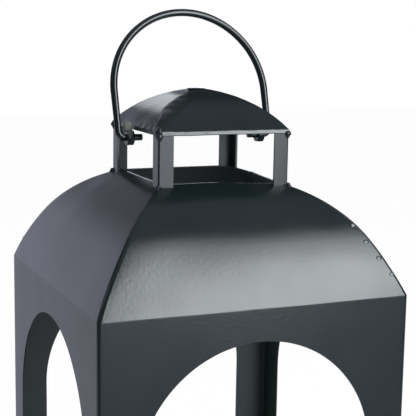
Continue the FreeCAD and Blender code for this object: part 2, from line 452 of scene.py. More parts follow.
def square_loft(stations: Sequence[Station], corner_radius: float) -> Mesh:
    """Raise a square loop with rounded corners through a row of stations about the lantern's axis.

    Args:
        stations: Half widths and heights, from the first loop to the last.
        corner_radius: Radius of the corners, the same at every station.

    Returns:
        An open shell.
    """
    shell = bmesh.new()
    half, height = stations[0]
    square = bmesh.ops.create_circle(shell, segments=4, radius=half * math.sqrt(2))["verts"]
    bmesh.ops.rotate(shell, verts=square, matrix=rotation(45, "Z"))
    bmesh.ops.translate(shell, verts=square, vec=UP * height)
    round_over(shell, square, corner_radius, CORNER_STEPS, "VERTICES")
    loop = shell.edges[:]
    for next_half, next_height in stations[1:]:
        raised = bmesh.ops.extrude_edge_only(shell, edges=loop)["geom"]
        verts = only(bmesh.types.BMVert, raised)
        loop = [edge for edge in only(bmesh.types.BMEdge, raised)
                if all(vert in verts for vert in edge.verts)]
        for corner in Corner:
            way = corner.turn @ Vector((-1, -1, 0))
            group = [vert for vert in verts if vert.co.x * way.x > 0 and vert.co.y * way.y > 0]
            move = way * (next_half - half) + UP * (next_height - height)
            bmesh.ops.translate(shell, verts=group, vec=move)
        half, height = next_half, next_height
    return shell


def on_diagonal(edge: bmesh.types.BMEdge) -> bool:
    """Tell whether an edge lies in one of the two diagonal planes."""
    return all(abs(abs(vert.co.x) - abs(vert.co.y)) < 2 * TOUCH for vert in edge.verts)


def divide_sides(shell: Mesh, pitch: float) -> None:
    """Divide the long level edges of a shell, so that its sheet can follow small dents.

    Args:
        shell: Square shell with rounded corners.
        pitch: Widest gap between the new columns.
    """
    sides = [edge for edge in shell.edges
             if min(abs(edge.verts[0].co.x + edge.verts[1].co.x),
                    abs(edge.verts[0].co.y + edge.verts[1].co.y)) < TOUCH]
    widest = max(edge.calc_length() for edge in sides)
    # An even number of cuts leaves no column on the middle plane.
    cuts = math.ceil(widest / pitch) // 2 * 2
    bmesh.ops.subdivide_edges(shell, edges=sides, cuts=cuts, use_grid_fill=True)


def keep_quarter(bm: Mesh, side: Side) -> None:
    """Cut a mesh on the diagonal planes and keep the quarter nearest one side.

    Args:
        bm: Mesh about the lantern's axis.
        side: Side to keep.
    """
    for hand in (-1, 1):
        outward = side.turn @ Vector((hand, 1, 0))
        bmesh.ops.bisect_plane(bm, geom=whole(bm), dist=TOUCH, plane_co=(0, 0, 0),
                               plane_no=outward, clear_outer=True)


def face_outwards(shell: Mesh, middle: Vector) -> None:
    """Turn the faces of an open shell away from a point inside it.

    Args:
        shell: Open shell whose faces agree with each other or not.
        middle: Point on the inner side.
    """
    bmesh.ops.recalc_face_normals(shell, faces=shell.faces[:])
    outward = sum((face.normal.dot(face.calc_center_median() - middle) * face.calc_area()
                   for face in shell.faces), 0.0)
    if outward < 0:
        bmesh.ops.reverse_faces(shell, faces=shell.faces[:])


def thicken(shell: Mesh, sheet: float) -> None:
    """Give an open shell its sheet's thickness, on its inner side.

    Args:
        shell: Open shell, whose faces look outwards.
        sheet: Thickness of the sheet.
    """
    outer = set(shell.faces)
    bmesh.ops.solidify(shell, geom=shell.faces[:], thickness=sheet)
    for face in shell.faces:
        face.material_index = 0 if face in outer else INNER
    bmesh.ops.recalc_face_normals(shell, faces=shell.faces[:])


def soften(shell: Mesh, radius: float, keep_seams: bool = False) -> None:
    """Break the sharp edges of a solid.

    Args:
        shell: Closed solid.
        radius: Radius of the broken edge.
        keep_seams: Leave the edges on the diagonal planes, where the next sheet is welded on.
    """
    sharp = [edge for edge in shell.edges if len(edge.link_faces) == 2
             and edge.calc_face_angle(0.0) > math.radians(KEEN)
             and not (keep_seams and on_diagonal(edge))]
    round_over(shell, sharp, radius, EDGE_STEPS)


def add_lump(
    bm: Mesh, centre: Vector, size: Vector, roughness: float, turn: Matrix | None = None
) -> None:
    """Add a lump of weld metal with an uneven skin.

    Args:
        bm: Mesh that takes the lump.
        centre: Middle of the lump.
        size: Half sizes along its own axes.
        roughness: How far its skin wanders.
        turn: Rotation of its own axes, if they aren't the lantern's.
    """
    verts = bmesh.ops.create_icosphere(bm, subdivisions=3, radius=1.0)["verts"]
    bmesh.ops.scale(bm, verts=verts, vec=size)
    if turn is not None:
        bmesh.ops.rotate(bm, verts=verts, matrix=turn)
    bmesh.ops.translate(bm, verts=verts, vec=centre)
    # The skin's bumps are a little wider than half the lump's thinnest way across.
    bumps = 0.9 / min(size)
    for vert in verts:
        away = (vert.co - centre).normalized()
        vert.co += away * roughness * noise.noise(vert.co * bumps)


@dataclass
class Body:
    """Four bent sheets: hem, wall with its arch, eave and curved roof up to the vent."""

    half: float = 140.0
    eave: float = 356.0
    sheet: float = 1.0
    corner_radius: float = 3.3
    hem: float = 12.0
    hem_bend: float = 1.6
    hem_steps: int = 4
    arch_half: float = 107.0
    arch_crown_drop: float = 28.0
    arch_steps: int = 192
    sill: float = 40.0
    cut_reach: float = 10.0
    eave_bend: float = 4.0
    eave_turn: float = 19.7
    eave_steps: int = 5
    lower_radius: float = 220.0
    lower_turn: float = 13.8
    lower_steps: int = 10
    upper_radius: float = 116.0
    upper_steps: int = 22
    vent_half: float = 55.0
    vent_lip: float = 1.3
    lip_round: float = 0.15
    lip_gap: float = 0.5
    row_pitch: float = 8.0
    edge_radius: float = 0.4
    wave_mm: float = 70.0
    wall_wave: float = 0.12
    roof_wave: float = 0.25
    # The front left hip wanders between the eave and a stop just outside the vent. A lag is the power
    # that holds a move back before it grows.
    hip_drift: float = 2.6
    hip_bulge: float = 3.3
    hip_bulge_reach: float = 50.0
    hip_stop: float = 6.0
    hip_lag: float = 1.6
    next_hip: float = 1.0
    # The right wall stands out, and the front right hip sags towards the vent.
    right_spread: float = 2.3
    spread_height: float = 25.0
    spread_lag: float = 4.0
    hip_sag: float = 2.7
    hip_sag_from: float = 108.0
    hip_sag_reach: float = 45.0
    hip_sag_lag: float = 1.2

    def arcs(self) -> tuple[Arc, Arc, Arc]:
        """Work out the arcs of the outside above the wall.

        Returns:
            The bend at the eave, the slack arc and the tighter one up to the vent.
        """
        eave_slope = 90 - self.eave_turn
        shoulder = eave_slope - self.lower_turn
        start = self.eave - self.eave_bend * math.tan(math.radians(self.eave_turn / 2))
        bend = Arc(self.half - self.eave_bend, start, self.eave_bend, 90, eave_slope)
        step = Arc(bend.half, bend.height, self.eave_bend - self.lower_radius, 0, 0)
        lower = Arc(*step.station(eave_slope), self.lower_radius, eave_slope, shoulder)
        step = Arc(lower.half, lower.height, self.lower_radius - self.upper_radius, 0, 0)
        centre = step.station(shoulder)
        head = math.degrees(math.asin((self.vent_half - centre[0]) / self.upper_radius))
        return bend, lower, Arc(*centre, self.upper_radius, shoulder, head)

    def roof_height(self, half: float) -> float:
        """Give the height of the roof's outside near the vent, at a half width."""
        upper = self.arcs()[-1]
        return upper.height + math.sqrt(upper.radius ** 2 - (half - upper.half) ** 2)

    def roof_half(self, height: float) -> float:
        """Give the half width of the roof's outside at a height.

        Args:
            height: Height between the eave and the vent.

        Returns:
            The half width, which is the vent's from there up.
        """
        for arc in self.arcs():
            if height <= arc.station(arc.head_slope)[1]:
                return arc.half + math.sqrt(arc.radius ** 2 - (height - arc.height) ** 2)
        return self.vent_half

    def stations(self) -> list[Station]:
        """Work out the section of the outside.

        Returns:
            Half widths and heights from the hem's edge to the vent.
        """
        foot = Arc(self.half - self.hem_bend, self.hem_bend, self.hem_bend, 180, 90)
        bend, lower, upper = self.arcs()
        rows = math.ceil((bend.height - self.hem_bend) / self.row_pitch)
        rise = (bend.height - self.hem_bend) / rows
        wall = [(self.half, self.hem_bend + rise * row) for row in range(1, rows)]
        lip = self.vent_half + self.vent_lip
        head = self.roof_height(lip)
        roof = bend.stations(self.eave_steps) + lower.stations(self.lower_steps)[1:]
        roof += [station for station in upper.stations(self.upper_steps)[1:]
                 if station[0] > lip + self.lip_gap]
        vent = [(lip, head), (lip - self.lip_round, head), (self.vent_half, head)]
        return [(self.half - self.hem, 0.0)] + foot.stations(self.hem_steps) + wall + roof + vent

    def dents(self) -> list[Dent]:
        """List the pushes that welding the posts left in the roof round the vent.

        Returns:
            The dents, with their depths in millimetres.
        """
        head = self.roof_height(self.vent_half)
        return [
            Dent((-46, -76, head - 7), 14, 0.35),
            Dent((40, -78, head - 8), 16, 0.3),
            Dent((-84, 40, head - 11), 16, -0.2),
            Dent((78, -44, head - 8), 14, 0.3),
            Dent((80, 30, head - 9), 18, 0.3),
            Dent((36, 80, head - 9), 16, 0.3),
        ]

    def seam_drift(self, place: Vector) -> Vector:
        """Give how far the front left hip wanders towards the front, as its sheets were trimmed by hand.

        Args:
            place: Point of the outside.

        Returns:
            Level move of the point.
        """
        rise = share_between(place.z, self.eave, self.roof_height(self.vent_half + self.hip_stop))
        half = max(-place.x, -place.y)
        if rise <= 0 or max(place.x, place.y) > half - self.next_hip:
            return Vector()
        along = place.y if place.x < place.y else place.x
        swing = math.sin(math.pi * rise ** self.hip_lag)
        share = (1 - along / half) / 2
        near = bell(half + along, self.hip_bulge_reach)
        return swing * Vector((self.hip_drift * share, -self.hip_bulge * near, 0))

    def right_fit(self, place: Vector) -> Vector:
        """Give how far the right wall stands out, and the front right hip sags below the vent.

        Args:
            place: Point of the outside.

        Returns:
            Move of the point.
        """
        fade = share_between(place.z, self.eave + self.spread_height, self.eave)
        spread = self.right_spread * fade * max(place.x / self.half, 0.0) ** self.spread_lag
        half, along = max(place.x, -place.y), min(place.x, -place.y)
        if place.z < self.eave or along < 0:
            return Vector((spread, 0, 0))
        climb = share_between(half, self.hip_sag_from, self.vent_half)
        near = bell(half - along, self.hip_sag_reach)
        return Vector((spread, 0, -self.hip_sag * near * climb ** self.hip_sag_lag))

    def shell(self) -> Mesh:
        """Build the whole outside with the waves of hand-bent sheet.

        Returns:
            Open shell of all four sides.
        """
        shell = square_loft(self.stations(), self.corner_radius)
        divide_sides(shell, self.row_pitch)
        face_outwards(shell, UP * self.eave / 2)
        shell.normal_update()
        dents = self.dents()
        moves = []
        for vert in shell.verts:
            wave = self.roof_wave if vert.co.z > self.eave else self.wall_wave
            lift = wave * noise.noise(vert.co / self.wave_mm)
            if vert.co.z > self.eave:
                lift += sum(dent.lift(vert.co) for dent in dents)
            moves.append(vert.normal * lift if vert.co.z > self.hem_bend else Vector())
        for vert, move in zip(shell.verts, moves):
            vert.co += move
        return shell

    def arch_cutter(self, side: Side) -> Mesh:
        """Build the prism that opens the arch in a wall.

        Args:
            side: Wall to open.

        Returns:
            Closed prism through the wall.
        """
        cutter = bmesh.new()
        bmesh.ops.create_circle(cutter, segments=self.arch_steps, radius=self.arch_half)
        bmesh.ops.bisect_plane(cutter, geom=whole(cutter), dist=TOUCH, plane_co=(0, 0, 0),
                               plane_no=(0, -1, 0), clear_outer=True)
        spring = self.eave - self.arch_crown_drop - self.arch_half
        ends = [vert for vert in cutter.verts if len(vert.link_edges) == 1]
        feet = bmesh.ops.extrude_vert_indiv(cutter, verts=ends)["verts"]
        bmesh.ops.translate(cutter, verts=feet, vec=(0, self.sill - spring, 0))
        bmesh.ops.contextual_create(cutter, geom=feet)
        bmesh.ops.contextual_create(cutter, geom=cutter.edges[:])
        bmesh.ops.rotate(cutter, verts=cutter.verts[:], matrix=rotation(90, "X"))
        bmesh.ops.translate(cutter, verts=cutter.verts[:], vec=(0, -self.half - self.cut_reach, spring))
        pushed = bmesh.ops.extrude_face_region(cutter, geom=cutter.faces[:])["geom"]
        bmesh.ops.translate(cutter, verts=only(bmesh.types.BMVert, pushed), vec=(0, 2 * self.cut_reach, 0))
        bmesh.ops.recalc_face_normals(cutter, faces=cutter.faces[:])
        bmesh.ops.rotate(cutter, verts=cutter.verts[:], matrix=side.turn)
        return cutter

    def build(self, finishes: Finishes) -> None:
        """Build and dress the four panels.

        Args:
            finishes: Materials by slot.
        """
        shell = self.shell()
        for side in Side:
            panel = shell.copy()
            keep_quarter(panel, side)
            thicken(panel, self.sheet)
            cutter = mesh_object("cutter", self.arch_cutter(side))
            panel = modified(panel, "BOOLEAN", {
                "operation": "DIFFERENCE", "solver": "EXACT", "object": cutter})
            bpy.data.meshes.remove(cutter.data)
            soften(panel, self.edge_radius, keep_seams=True)
            for vert in panel.verts:
                vert.co += self.seam_drift(vert.co) + self.right_fit(vert.co)
            node = f"{side.label}_panel"
            finishes.piece(f"{node}_sheet", panel, "panel_paint", [node], flat_faces=True)
        shell.free()


@dataclass
class HipTacks:
    """Spot-weld bumps beside the front right hip, and the same beside the back left one."""

    body: Body
    first_height: float = 18.5
    pitch: float = 13.5
    from_hip: float = 4.5
    wander: tuple[float, ...] = (1.4, -1.3, -2.0, 0.0)
    size: Triple = (2.6, 0.36, 2.0)
    lean: float = 30.0
    skin: float = 0.2

    def build(self, finishes: Finishes) -> None:
        """Build and dress the bumps as one piece.

        Args:
            finishes: Materials by slot.
        """
        bm = bmesh.new()
        for turn in (Side.FRONT.turn, Side.BACK.turn):
            for index, wander in enumerate(self.wander):
                height = self.body.eave + self.first_height + self.pitch * index
                half = self.body.roof_half(height)
                centre = Vector((half - self.from_hip + wander, -half, height))
                slope = rotation(-self.lean, "X")
                add_lump(bm, turn @ centre, Vector(self.size), self.skin, turn @ slope)
        finishes.piece("hip_spot_welds", bm, "weld_paint", ["hip_tack_welds"])


@dataclass
class Posts:
    """Four angle-section posts from the roof round the vent to the rim, with their welds."""

    body: Body
    half: float = 61.7
    leg: float = 14.0
    thickness: float = 2.0
    corner_radius: float = 1.5
    corner_steps: int = 5
    height: float = 44.0
    edge_radius: float = 0.3
    inner_margin: float = 0.1
    seat_in_rim: float = 0.8
    seat_in_roof: float = 0.3
    # Place of each foot bead from the post's outer corner, and its share of the largest size.
    foot_beads: tuple[tuple[Triple, float], ...] = (
        ((-0.3, -0.2, 0.6), 0.9),
        ((-1.2, -1.4, -1.2), 0.7),
        ((2.6, -0.5, 0.0), 0.5),
        ((-0.5, 2.8, 0.0), 0.5),
    )
    foot_bead: Triple = (2.3, 2.3, 2.07)
    foot_skin: float = 0.35
    # The head bead is a row of lumps that narrows down the post's corner.
    head_bead: Triple = (3.4, 3.4, 2.72)
    head_bead_length: float = 8.0
    head_bead_steps: int = 4
    head_bead_taper: float = 0.62
    head_bead_inset: float = 1.1
    head_bead_lean: float = 0.25
    head_skin: float = 0.4
    # A thick blob stands on the front left bead.
    blob: Triple = (2.89, 4.08, 4.59)
    blob_place: Triple = (0.6, 1.6, 3.4)
    blob_skin: float = 0.5
    voxel: float = 0.35

    @property
    def foot(self) -> float:
        """Height of the outer faces' feet on the roof."""
        return self.body.roof_height(self.half)

    @property
    def head(self) -> float:
        """Height of the heads, under the rim."""
        return self.foot + self.height

    def at_corner(self, height: float, right: float = 0.0, back: float = 0.0) -> Vector:
        """Give a point at a height, so far right and back of the front left post's outer corner."""
        return Vector((right - self.half, back - self.half, height))

    def settled(self, corner: Corner) -> Vector:
        """Give how far a post's foot goes down with the roof that sags under it."""
        return self.body.right_fit(corner.turn @ self.at_corner(self.foot))

    def post(self) -> Mesh:
        """Build the front left post.

        Returns:
            Closed solid.
        """
        bm = bmesh.new()
        outline = ((0, 0), (self.leg, 0), (self.leg, self.thickness), (self.thickness, self.thickness),
                   (self.thickness, self.leg), (0, self.leg))
        verts = [bm.verts.new((x - self.half, y - self.half, 0)) for x, y in outline]
        raised = bmesh.ops.extrude_face_region(bm, geom=[bm.faces.new(verts)])["geom"]
        heads = only(bmesh.types.BMVert, raised)
        bmesh.ops.translate(bm, verts=heads, vec=UP * (self.head + self.seat_in_rim))
        bmesh.ops.recalc_face_normals(bm, faces=bm.faces[:])
        for vert in verts:
            reach = max(abs(vert.co.x), abs(vert.co.y))
            vert.co.z = self.body.roof_height(reach) - self.seat_in_roof
        corner = [edge for edge in bm.edges
                  if all(max(vert.co.x, vert.co.y) < TOUCH - self.half for vert in edge.verts)]
        round_over(bm, corner, self.corner_radius, self.corner_steps)
        soften(bm, self.edge_radius)
        inner = self.half - self.thickness + self.inner_margin
        for face in bm.faces:
            middle = face.calc_center_median()
            face.material_index = INNER if max(abs(middle.x), abs(middle.y)) < inner else 0
        return bm

    def add_foot_weld(self, bm: Mesh, corner: Corner) -> None:
        """Add the beads at the foot of one post.

        Args:
            bm: Mesh that takes the beads.
            corner: Corner of the post.
        """
        for place, share in self.foot_beads:
            centre = corner.turn @ (self.at_corner(self.foot) + Vector(place)) + self.settled(corner)
            add_lump(bm, centre, Vector(self.foot_bead) * share, self.foot_skin)

    def add_head_weld(self, bm: Mesh, corner: Corner) -> None:
        """Add the bead that tapers down the outer corner of one post from the rim.

        Args:
            bm: Mesh that takes the bead.
            corner: Corner of the post.
        """
        for step in range(self.head_bead_steps):
            share = 1 - self.head_bead_taper * step / (self.head_bead_steps - 1)
            inset = self.head_bead_inset + self.head_bead_lean * step
            drop = self.head_bead_length * step / self.head_bead_steps
            centre = self.at_corner(self.head - drop, inset, inset)
            add_lump(bm, corner.turn @ centre, Vector(self.head_bead) * share, self.head_skin)
        if corner is Corner.FRONT_LEFT:
            right, back, up = self.blob_place
            add_lump(bm, self.at_corner(self.head + up, right, back), Vector(self.blob), self.blob_skin)

    def build(self, finishes: Finishes) -> None:
        """Build and dress the posts and the welds at their feet and heads.

        Args:
            finishes: Materials by slot.
        """
        feet, heads = bmesh.new(), bmesh.new()
        for corner in Corner:
            node = f"post_{corner.label}"
            bm = self.post()
            bmesh.ops.rotate(bm, verts=bm.verts[:], matrix=corner.turn)
            low = [vert for vert in bm.verts if vert.co.z < self.foot + self.height / 2]
            bmesh.ops.translate(bm, verts=low, vec=self.settled(corner))
            finishes.piece(f"{node}_angle", bm, "post_paint", [node], flat_faces=True)
            self.add_foot_weld(feet, corner)
            self.add_head_weld(heads, corner)
        finishes.piece("post_foot_beads", feet, "weld_paint", ["post_foot_welds"])
        heads = modified(heads, "REMESH", {"mode": "VOXEL", "voxel_size": self.voxel})
        finishes.piece("post_head_beads", heads, "weld_paint", ["post_head_welds"])


@dataclass
class Cap:
    """Domed cap of four gores on a square rim of round wire, with the weld at its crown."""

    posts: Posts
    sheet: float = 1.0
    lap: float = 0.2
    rise: float = 33.5
    radius: float = 91.5
    rise_steps: int = 26
    hip_radius: float = 0.9
    crown_gap: float = 0.3
    row_pitch: float = 3.0
    edge_radius: float = 0.25
    edge_inset: float = 0.9
    # Marks of hand work: a wavy lower edge, crimped seams, a slight belly and uneven sheet.
    edge_wave: float = 0.55
    edge_wave_mm: float = 7.0
    edge_reach: float = 2.5
    crimp: float = 0.15
    crimp_mm: float = 3.6
    crimp_reach: float = 3.0
    belly: float = 0.2
    sheet_wave: float = 0.2
    sheet_wave_mm: float = 28.0
    # The fold at the front left hip grows and eases off over shares of the rim's half width.
    fold_wrap: float = 19.0
    fold_width: float = 16.0
    fold_reach: float = 45.0
    fold_start: float = 0.22
    fold_full: float = 0.68
    fold_ease: float = 0.8
    fold_end: float = 1.1
    fold_loss: float = 0.7
    fold_taper: float = 1.9
    fold_wander: float = 0.3
    fold_wander_mm: float = 5.0
    fold_seed: tuple[float, float] = (0.3, 0.7)
    # The rim's wire was hammered flat on its outer upper face, and isn't quite straight.
    rim_wire: float = 4.0
    rim_sides: int = 20
    rim_cuts: int = 40
    rim_overrun: float = 1.2
    rim_flat: float = 1.0
    rim_flat_slope: float = 17.0
    rim_dent: float = 0.25
    rim_dent_mm: float = 9.0
    rim_bow: float = 0.25
    rim_bow_mm: float = 22.0
    crown_weld: Triple = (9.0, 8.0, 0.9)
    crown_shift: float = -3.0
    crown_proud: float = 0.2
    crown_skin: float = 0.1

    @property
    def rim_half(self) -> float:
        """Half width of the rim at the middle of its wire."""
        return self.posts.half - self.posts.thickness / 2

    @property
    def rim_middle(self) -> float:
        """Height of the middle of the rim's wire."""
        return self.posts.head + self.rim_wire / 2

    @property
    def edge(self) -> float:
        """Height of the gores' lower edge."""
        return self.posts.head + self.rim_wire - self.lap

    def arc(self) -> Arc:
        """Work out the section of the gores' outside.

        Returns:
            Arc from the lower edge to the crown.
        """
        half = self.rim_half + self.rim_wire / 2 - self.edge_inset
        chord = math.hypot(half, self.rise)
        depth = math.sqrt(self.radius ** 2 - (chord / 2) ** 2)
        centre_half = half / 2 - depth * self.rise / chord
        centre_height = self.edge + self.rise / 2 - depth * half / chord
        top = self.hip_radius + self.crown_gap
        foot, head = (math.degrees(math.asin((end - centre_half) / self.radius)) for end in (half, top))
        return Arc(centre_half, centre_height, self.radius, foot, head)

    def shell(self) -> Mesh:
        """Build the whole dome, as it would be without the marks of hand work.

        Returns:
            Open shell of all four gores.
        """
        arc = self.arc()
        shell = square_loft(arc.stations(self.rise_steps), self.hip_radius)
        divide_sides(shell, self.row_pitch)
        head = arc.station(arc.head_slope)[1]
        crown = [vert for vert in shell.verts if vert.co.z > head - TOUCH]
        bmesh.ops.pointmerge(shell, verts=crown, merge_co=UP * (self.edge + self.rise))
        face_outwards(shell, UP * self.posts.foot)
        return shell

    def relief(self, place: Vector) -> Vector:
        """Give the move that bellies a gore, waves its lower edge and crimps its seams.

        Args:
            place: Point of the dome.

        Returns:
            Move of the point.
        """
        low, high = sorted((abs(place.x), abs(place.y)))
        rise = share_between(place.z, self.edge, self.edge + self.rise)
        lift = self.belly * math.sin(math.pi * rise) * (1 - (low / max(high, TOUCH)) ** 2)
        lift += self.sheet_wave * noise.noise(place / self.sheet_wave_mm)
        lift += self.crimp * bell(high - low, self.crimp_reach) * noise.noise(place / self.crimp_mm)
        near_edge = bell(place.z - self.edge, self.edge_reach)
        drop = self.edge_wave * near_edge * noise.noise(place / self.edge_wave_mm)
        outward = (place - UP * (self.edge - self.rim_half)).normalized()
        return outward * lift - UP * drop

    def fold(self, place: Vector) -> Vector:
        """Give the move that folds the front gore round the front left hip and over the left gore.

        Args:
            place: Point of the dome.

        Returns:
            Level move of the point, along the left side.
        """
        half = max(-place.x, -place.y)
        if place.x > 0 or half < TOUCH:
            return Vector()
        share = half / self.rim_half
        rise = share_between(share, self.fold_start, self.fold_full)
        fall = share_between(share, self.fold_ease, self.fold_end)
        level = rise * rise * (3 - 2 * rise) * (1 - self.fold_loss * fall)
        level *= 1 + self.fold_wander * noise.noise(Vector((half / self.fold_wander_mm, *self.fold_seed)))
        if place.y < place.x:
            near = max(1 - (place.x + half) / self.fold_width, 0.0) ** 2
        else:
            near = max(1 - (place.y + half) / min(self.fold_reach, self.fold_taper * half), 0.0)
        return Vector((0, self.fold_wrap * level * near, 0))

    def hammered(self, place: Vector) -> Vector:
        """Give the move that flattens the rim's wire and bows it a little.

        Args:
            place: Point of the round, straight wire.

        Returns:
            Move of the point.
        """
        along = Vector((place.x, place.y, 0))
        # The points of a mitre go with the front or back bar, however their last digits fall.
        if abs(along.x) > abs(along.y) + TOUCH:
            outward = Vector((math.copysign(1, along.x), 0, 0))
        else:
            outward = Vector((0, math.copysign(1, along.y), 0))
        lean = math.radians(self.rim_flat_slope)
        face = outward * math.cos(lean) + UP * math.sin(lean)
        proud = (place - outward * self.rim_half - UP * self.rim_middle).dot(face)
        flat = self.rim_flat + self.rim_dent * noise.noise(along / self.rim_dent_mm)
        move = UP * self.rim_bow * noise.noise(along / self.rim_bow_mm)
        if proud > flat:
            move -= face * (proud - flat)
        return move

    def rim(self) -> Mesh:
        """Build the square ring of wire with mitred corners.

        Returns:
            Closed ring.
        """
        bm = bmesh.new()
        ring = bmesh.ops.create_circle(bm, segments=self.rim_sides, radius=self.rim_wire / 2)["verts"]
        bmesh.ops.rotate(bm, verts=ring, matrix=rotation(90, "Y"))
        # The bar is drawn past its mitres, and then cut.
        reach = self.rim_overrun * self.rim_half
        bmesh.ops.translate(bm, verts=ring, vec=(-reach, -self.rim_half, self.rim_middle))
        drawn = bmesh.ops.extrude_edge_only(bm, edges=bm.edges[:])["geom"]
        bmesh.ops.translate(bm, verts=only(bmesh.types.BMVert, drawn), vec=(2 * reach, 0, 0))
        keep_quarter(bm, Side.FRONT)
        long_edges = [edge for edge in bm.edges if edge.calc_length() > self.rim_half]
        bmesh.ops.subdivide_edges(bm, edges=long_edges, cuts=self.rim_cuts, use_grid_fill=True)
        bar = whole(bm)
        for side in (Side.RIGHT, Side.BACK, Side.LEFT):
            copy = bmesh.ops.duplicate(bm, geom=bar)["geom"]
            bmesh.ops.rotate(bm, verts=only(bmesh.types.BMVert, copy), matrix=side.turn)
        bmesh.ops.remove_doubles(bm, verts=bm.verts[:], dist=2 * TOUCH)
        bmesh.ops.recalc_face_normals(bm, faces=bm.faces[:])
        for vert in bm.verts:
            vert.co += self.hammered(vert.co)
        return bm

    def build(self, finishes: Finishes) -> None:
        """Build and dress the gores, the rim and the crown weld.

        Args:
            finishes: Materials by slot.
        """
        shell = self.shell()
        for side in Side:
            gore = shell.copy()
            keep_quarter(gore, side)
            for vert in gore.verts:
                vert.co += self.fold(vert.co)
                vert.co += self.relief(vert.co)
            thicken(gore, self.sheet)
            soften(gore, self.edge_radius, keep_seams=True)
            node = f"cap_{side.label}"
            finishes.piece(f"{node}_gore", gore, "cap_paint", [node], flat_faces=True)
        shell.free()
        finishes.piece("cap_rim_wire", self.rim(), "rim_paint", ["cap_rim"])
        crown = bmesh.new()
        size = Vector(self.crown_weld)
        top = self.edge + self.rise + self.crown_proud
        add_lump(crown, Vector((self.crown_shift, 0, top - size.z)), size, self.crown_skin)
        finishes.piece("cap_crown_bead", crown, "weld_paint", ["cap_crown_weld"])


@dataclass
class Pivots:
    """Hexagon nuts under the rim and the lumpy weld that holds each of them to it."""

    cap: Cap
    nut_flats: float = 13.0
    nut_thickness: float = 6.5
    left_outset: float = 5.8
    right_outset: float = 0.8
    left_weld_proud: float = 2.3
    right_weld_proud: float = 0.8
    # Places of the lumps along each side's rim.
    left_weld: tuple[float, ...] = (-0.6, 2.4, 5.2)
    right_weld: tuple[float, ...] = (-2.6, 0.2, 2.9)
    weld_size: Triple = (4.2, 3.36, 5.25)
    weld_lift: float = 2.8
    weld_wander: float = 1.2
    weld_fall: float = 0.15
    weld_seed: Triple = (0.2, 0.0, 0.6)
    weld_seed_pitch: tuple[float, float] = (0.5, 4.1)
    weld_skin: float = 0.5
    voxel: float = 0.4

    @property
    def height(self) -> float:
        """Height of the pivot axis."""
        return self.cap.posts.head - self.nut_flats / 2

    @property
    def spread(self) -> float:
        """Half the distance between the middles of the nuts."""
        return self.cap.rim_half + (self.left_outset + self.right_outset) / 2

    @property
    def middle(self) -> float:
        """Place of the bail's middle, half way between the nuts."""
        return (self.right_outset - self.left_outset) / 2

    def build(self, finishes: Finishes) -> None:
        """Dress the nuts and build their welds.

        Args:
            finishes: Materials by slot.
        """
        for node in ("pivot_nut_left", "pivot_nut_right"):
            finishes.dress_node(node, "nut_paint")
        bm = bmesh.new()
        left = (-1, self.left_outset, self.left_weld_proud, self.left_weld)
        right = (1, self.right_outset, self.right_weld_proud, self.right_weld)
        pitch = self.weld_seed_pitch
        for hand, outset, proud, row in (left, right):
            outer = self.cap.rim_half + outset + self.nut_thickness / 2
            for along in row:
                seed = Vector(self.weld_seed) + Vector((pitch[0] * along, pitch[1] * hand, 0))
                reach = outer + proud - self.weld_size[0] - self.weld_fall * abs(along)
                lift = self.weld_lift + self.weld_wander * noise.noise(seed)
                centre = Vector((hand * reach, along, self.cap.posts.head + lift))
                add_lump(bm, centre, Vector(self.weld_size), self.weld_skin)
        bm = modified(bm, "REMESH", {"mode": "VOXEL", "voxel_size": self.voxel})
        welds = finishes.piece("nut_weld_beads", bm, "weld_paint", ["nut_welds"])
        welds.data.materials[0] = finishes.bare_weld


